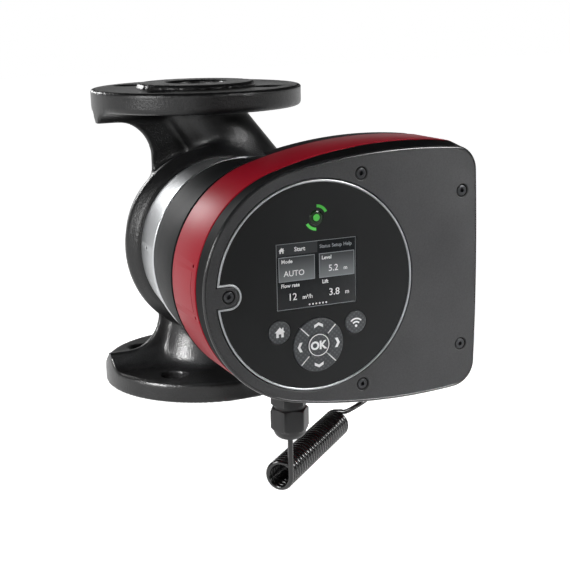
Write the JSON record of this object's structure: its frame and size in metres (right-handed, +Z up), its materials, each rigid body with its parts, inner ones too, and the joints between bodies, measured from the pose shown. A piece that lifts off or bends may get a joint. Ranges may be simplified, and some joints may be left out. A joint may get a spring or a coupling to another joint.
{
  "type": "circulator pump",
  "caption": "In-line flanged circulator pump with a canned motor, a flat control head with display and buttons, and a spiral sensor cable to the housing.",
  "frame": {"origin": "middle of the lower (inlet) flange's bolting face, 3 mm above its raised sealing face", "axes": "+Z up the pipe axis from inlet to outlet, -Y toward the display, +X to the right seen from the front"},
  "size_m": [0.1872, 0.272, 0.2525],
  "materials": {
    "black_cast_iron": "satin black paint over a fine cast grain",
    "stainless": "machined",
    "gasket": "matte",
    "carbon": "lapped carbon",
    "impeller_plastic": "moulded",
    "rotor_iron": "laminated",
    "rubber": "matte",
    "copper": "enamelled wire",
    "grey_coated_aluminium": "matte dark grey coat",
    "satin_metal_band": "satin turned",
    "bare_aluminium": "matte",
    "board": "solder mask",
    "black_plastic": "fine moulded grain",
    "terminal_plastic": "moulded",
    "red_coat": "satin",
    "grey_cover": "fine texture",
    "black_screw": "black oxide",
    "panel_black": "satin",
    "silver_trim": "satin",
    "display_glass": "glossy lens",
    "green_lens": "lit lens",
    "grey_key": "fine hatched",
    "cable_sheath": "glossy polyurethane"
  },
  "bodies": {
    "pump": {"pump_housing": "black_cast_iron", "inlet_flange": "black_cast_iron", "inlet_neck": "black_cast_iron", "inlet_chamber": "black_cast_iron", "outlet_duct": "black_cast_iron", "outlet_flange": "black_cast_iron", "housing_web": "black_cast_iron", "neck_ring": "stainless", "plate_gasket": "gasket", "bearing_plate": "stainless", "pump_bearing": "carbon", "rotor_can": "stainless", "can_oring": "rubber", "far_bearing": "carbon", "stator_core": "rotor_iron", "windings": "copper", "stator_housing": "grey_coated_aluminium", "clamp_band": "satin_metal_band", "clamp_screw": "stainless", "rear_casing": "grey_coated_aluminium", "heat_sink": "bare_aluminium", "power_board": "board", "capacitors": "black_plastic", "terminal_block": "terminal_plastic", "red_band": "red_coat", "cover_gasket": "rubber", "front_cover": "grey_cover", "cover_screws": "black_screw", "display_panel": "panel_black", "trim_ring": "silver_trim", "lcd_display": "display_glass", "status_light": "green_lens", "display_board": "board", "keypad_mat": "rubber", "gland_body": "black_plastic", "gland_locknut": "black_plastic", "gland_seal": "rubber", "gland_nut": "black_plastic", "sensor_body": "stainless", "sensor_oring": "rubber", "sensor_clip": "stainless", "sensor_plug": "black_plastic", "cable_from_gland": "cable_sheath", "cable_coil": "cable_sheath", "cable_to_sensor": "cable_sheath"},
    "rotor": {"shaft": "stainless", "impeller": "impeller_plastic", "impeller_nut": "stainless", "thrust_ring": "carbon", "rotor": "rotor_iron"},
    "home_button": {"home_button": "grey_key"},
    "wireless_button": {"wireless_button": "grey_key"},
    "ok_button": {"ok_button": "grey_key"},
    "up_button": {"up_button": "grey_key"},
    "down_button": {"down_button": "grey_key"},
    "left_button": {"left_button": "grey_key"},
    "right_button": {"right_button": "grey_key"}
  },
  "joints": [
    {"name": "rotor_spin", "type": "hinge", "parent": "pump", "child": "rotor", "pos_m": [0, -0.05, 0.107], "axis": [0, -1, 0], "continuous": true},
    {"name": "home_press", "type": "slide", "parent": "pump", "child": "home_button", "axis": [0, 1, 0], "range_m": [0, 0.0008], "stiffness_N_per_m": 1500},
    {"name": "wireless_press", "type": "slide", "parent": "pump", "child": "wireless_button", "axis": [0, 1, 0], "range_m": [0, 0.0008], "stiffness_N_per_m": 1500},
    {"name": "ok_press", "type": "slide", "parent": "pump", "child": "ok_button", "axis": [0, 1, 0], "range_m": [0, 0.0008], "stiffness_N_per_m": 1500},
    {"name": "up_press", "type": "slide", "parent": "pump", "child": "up_button", "axis": [0, 1, 0], "range_m": [0, 0.0008], "stiffness_N_per_m": 1500},
    {"name": "down_press", "type": "slide", "parent": "pump", "child": "down_button", "axis": [0, 1, 0], "range_m": [0, 0.0008], "stiffness_N_per_m": 1500},
    {"name": "left_press", "type": "slide", "parent": "pump", "child": "left_button", "axis": [0, 1, 0], "range_m": [0, 0.0008], "stiffness_N_per_m": 1500},
    {"name": "right_press", "type": "slide", "parent": "pump", "child": "right_button", "axis": [0, 1, 0], "range_m": [0, 0.0008], "stiffness_N_per_m": 1500}
  ]
}
